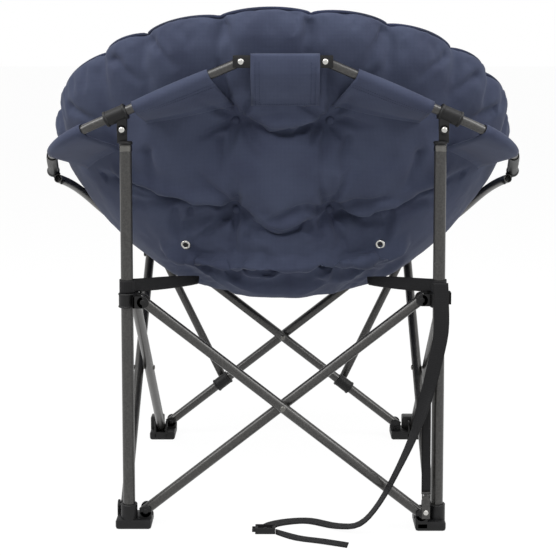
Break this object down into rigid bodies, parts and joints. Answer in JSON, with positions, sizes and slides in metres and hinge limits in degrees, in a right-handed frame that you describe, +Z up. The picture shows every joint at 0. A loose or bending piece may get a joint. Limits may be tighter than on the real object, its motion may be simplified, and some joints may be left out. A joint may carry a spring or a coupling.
{
  "type": "folding camp chair",
  "caption": "Padded round bucket seat on a folding tube frame: crossed scissor bars, rear legs with sliders, a hinged ring of tubes, webbing straps",
  "frame": {"origin": "on the floor, midway between the left and right and between the front and back of the chair without its loose strap", "axes": "+Z is up, +Y is the way a sitter faces, +X is to the right of someone who looks at the chair's back"},
  "size_m": [0.9308, 0.755, 0.9411],
  "materials": {
    "padded_cloth": "matte woven polyester",
    "gunmetal_tube": "satin powder coat",
    "black_plastic": "moulded",
    "bright_steel": "bright",
    "black_webbing": "ribbed webbing"
  },
  "bodies": {
    "left_leg": {"left_rear_leg": "gunmetal_tube", "left_leg_cap": "black_plastic", "left_leg_rivet": "bright_steel", "left_rear_foot": "black_plastic"},
    "rear_bar_left": {"rear_brace_left": "gunmetal_tube", "rear_rivet": "bright_steel"},
    "rear_bar_right": {"rear_brace_right": "gunmetal_tube"},
    "right_leg": {"right_rear_leg": "gunmetal_tube", "right_leg_cap": "black_plastic", "right_leg_rivet": "bright_steel", "right_rear_foot": "black_plastic", "foot_tab": "bright_steel", "foot_strap": "black_webbing"},
    "left_slider": {"left_slider": "black_plastic", "left_seat_strap": "black_webbing"},
    "right_slider": {"right_slider": "black_plastic", "right_seat_strap": "black_webbing", "carry_strap": "black_webbing", "strap_buckle": "black_plastic", "strap_tail": "black_webbing"},
    "left_side_bar_rear": {"left_side_brace_rear": "gunmetal_tube", "left_side_rivet": "bright_steel"},
    "left_side_bar_front": {"left_side_brace_front": "gunmetal_tube"},
    "left_corner": {"left_corner": "black_plastic"},
    "left_front_foot": {"left_front_foot": "black_plastic"},
    "right_side_bar_rear": {"right_side_brace_rear": "gunmetal_tube", "right_side_rivet": "bright_steel"},
    "right_side_bar_front": {"right_side_brace_front": "gunmetal_tube"},
    "right_corner": {"right_corner": "black_plastic"},
    "right_front_foot": {"right_front_foot": "black_plastic"},
    "front_bar_left": {"front_brace_left": "gunmetal_tube", "front_rivet": "bright_steel", "left_strut_clip": "black_plastic"},
    "front_bar_right": {"front_brace_right": "gunmetal_tube", "right_strut_clip": "black_plastic"},
    "left_strut": {"left_front_strut": "gunmetal_tube"},
    "right_strut": {"right_front_strut": "gunmetal_tube"},
    "left_arm": {"left_arm": "gunmetal_tube", "left_arm_collar": "black_plastic", "left_knuckle": "black_plastic", "left_back_pocket": "padded_cloth", "left_arm_pocket": "padded_cloth"},
    "right_arm": {"right_arm": "gunmetal_tube", "right_arm_collar": "black_plastic", "right_knuckle": "black_plastic", "right_back_pocket": "padded_cloth", "right_arm_pocket": "padded_cloth", "right_hub_rivet": "bright_steel"},
    "hub": {"ring_hub": "black_plastic", "hub_flap": "padded_cloth", "left_hub_rivet": "bright_steel", "cushion": "padded_cloth", "left_upper_button": "padded_cloth", "right_upper_button": "padded_cloth", "left_lower_button": "padded_cloth", "right_lower_button": "padded_cloth", "left_grommet": "bright_steel", "right_grommet": "bright_steel"},
    "left_rail": {"left_front_rail": "gunmetal_tube"},
    "right_rail": {"right_front_rail": "gunmetal_tube"}
  },
  "joints": [
    {"name": "fold", "type": "hinge", "parent": "left_leg", "child": "rear_bar_left", "pos_m": [-0.25, -0.30253, 0.03], "axis": [0, -1, 0], "range_deg": [0, 34], "deforming": ["cushion", "left_seat_strap", "right_seat_strap", "carry_strap", "strap_tail", "foot_strap"]},
    {"name": "rear_cross", "type": "hinge", "parent": "rear_bar_left", "child": "rear_bar_right", "pos_m": [0, -0.31253, 0.225], "axis": [0, -1, 0], "range_deg": [-68, 0]},
    {"name": "right_leg_foot", "type": "hinge", "parent": "rear_bar_right", "child": "right_leg", "pos_m": [0.25, -0.32253, 0.03], "axis": [0, -1, 0], "range_deg": [0, 34]},
    {"name": "left_slider_pin", "type": "hinge", "parent": "rear_bar_right", "child": "left_slider", "pos_m": [-0.25, -0.32253, 0.42], "axis": [0, -1, 0], "range_deg": [0, 34]},
    {"name": "right_slider_pin", "type": "hinge", "parent": "rear_bar_left", "child": "right_slider", "pos_m": [0.25, -0.30253, 0.42], "axis": [0, -1, 0], "range_deg": [-34, 0]},
    {"name": "left_side_foot", "type": "hinge", "parent": "left_leg", "child": "left_side_bar_rear", "pos_m": [-0.29, -0.28253, 0.03], "axis": [1, 0, 0], "range_deg": [0, 34]},
    {"name": "left_side_cross", "type": "hinge", "parent": "left_side_bar_rear", "child": "left_side_bar_front", "pos_m": [-0.28, -0.03253, 0.225], "axis": [1, 0, 0], "range_deg": [-68, 0]},
    {"name": "left_corner_pin", "type": "hinge", "parent": "left_side_bar_rear", "child": "left_corner", "pos_m": [-0.29, 0.21747, 0.42], "axis": [1, 0, 0], "range_deg": [-34, 0]},
    {"name": "left_front_foot_pin", "type": "hinge", "parent": "left_side_bar_front", "child": "left_front_foot", "pos_m": [-0.27, 0.21747, 0.03], "axis": [1, 0, 0], "range_deg": [0, 34]},
    {"name": "right_side_foot", "type": "hinge", "parent": "right_leg", "child": "right_side_bar_rear", "pos_m": [0.27, -0.28253, 0.03], "axis": [1, 0, 0], "range_deg": [0, 34]},
    {"name": "right_side_cross", "type": "hinge", "parent": "right_side_bar_rear", "child": "right_side_bar_front", "pos_m": [0.28, -0.03253, 0.225], "axis": [1, 0, 0], "range_deg": [-68, 0]},
    {"name": "right_corner_pin", "type": "hinge", "parent": "right_side_bar_rear", "child": "right_corner", "pos_m": [0.27, 0.21747, 0.42], "axis": [1, 0, 0], "range_deg": [-34, 0]},
    {"name": "right_front_foot_pin", "type": "hinge", "parent": "right_side_bar_front", "child": "right_front_foot", "pos_m": [0.29, 0.21747, 0.03], "axis": [1, 0, 0], "range_deg": [0, 34]},
    {"name": "front_foot_pin", "type": "hinge", "parent": "left_front_foot", "child": "front_bar_left", "pos_m": [-0.25, 0.25747, 0.03], "axis": [0, -1, 0], "range_deg": [0, 34]},
    {"name": "front_cross", "type": "hinge", "parent": "front_bar_left", "child": "front_bar_right", "pos_m": [0, 0.24747, 0.225], "axis": [0, -1, 0], "range_deg": [-68, 0]},
    {"name": "left_strut_pin", "type": "hinge", "parent": "front_bar_left", "child": "left_strut", "pos_m": [-0.13488, 0.28747, 0.1198], "axis": [0, -1, 0], "range_deg": [-56, 0]},
    {"name": "right_strut_pin", "type": "hinge", "parent": "front_bar_right", "child": "right_strut", "pos_m": [0.13488, 0.28747, 0.1198], "axis": [0, -1, 0], "range_deg": [0, 56]},
    {"name": "left_arm_pin", "type": "hinge", "parent": "left_leg", "child": "left_arm", "pos_m": [-0.286, -0.31253, 0.727], "axis": [0, -1, 0], "range_deg": [0, 46.72]},
    {"name": "hub_pin", "type": "hinge", "parent": "left_arm", "child": "hub", "pos_m": [-0.074, -0.32453, 0.848], "axis": [0, -1, 0], "range_deg": [-46.72, 0]},
    {"name": "right_arm_pin", "type": "hinge", "parent": "right_leg", "child": "right_arm", "pos_m": [0.286, -0.31253, 0.727], "axis": [0, -1, 0], "range_deg": [-46.72, 0]},
    {"name": "left_rail_pin", "type": "hinge", "parent": "left_arm", "child": "left_rail", "pos_m": [-0.45405, -0.05062, 0.62577], "axis": [-0.627, 0.3395, 0.7011], "range_deg": [0, 76.5]},
    {"name": "right_rail_pin", "type": "hinge", "parent": "right_arm", "child": "right_rail", "pos_m": [0.45405, -0.05062, 0.62577], "axis": [-0.627, -0.3395, -0.7011], "range_deg": [0, 76.5]}
  ],
  "couplings": [
    {"joint": "rear_cross", "follows": "fold", "ratio": -2},
    {"joint": "right_leg_foot", "follows": "fold", "ratio": 1},
    {"joint": "left_slider_pin", "follows": "fold", "ratio": 1},
    {"joint": "right_slider_pin", "follows": "fold", "ratio": -1},
    {"joint": "left_side_foot", "follows": "fold", "ratio": 1},
    {"joint": "left_side_cross", "follows": "fold", "ratio": -2},
    {"joint": "left_corner_pin", "follows": "fold", "ratio": -1},
    {"joint": "left_front_foot_pin", "follows": "fold", "ratio": 1},
    {"joint": "right_side_foot", "follows": "fold", "ratio": 1},
    {"joint": "right_side_cross", "follows": "fold", "ratio": -2},
    {"joint": "right_corner_pin", "follows": "fold", "ratio": -1},
    {"joint": "right_front_foot_pin", "follows": "fold", "ratio": 1},
    {"joint": "front_foot_pin", "follows": "fold", "ratio": 1},
    {"joint": "front_cross", "follows": "fold", "ratio": -2},
    {"joint": "left_strut_pin", "follows": "fold", "ratio": -1.647},
    {"joint": "right_strut_pin", "follows": "fold", "ratio": 1.647},
    {"joint": "left_arm_pin", "follows": "fold", "ratio": 1.374},
    {"joint": "hub_pin", "follows": "fold", "ratio": -1.374},
    {"joint": "right_arm_pin", "follows": "fold", "ratio": -1.374},
    {"joint": "left_rail_pin", "follows": "fold", "ratio": 2.25},
    {"joint": "right_rail_pin", "follows": "fold", "ratio": 2.25}
  ]
}
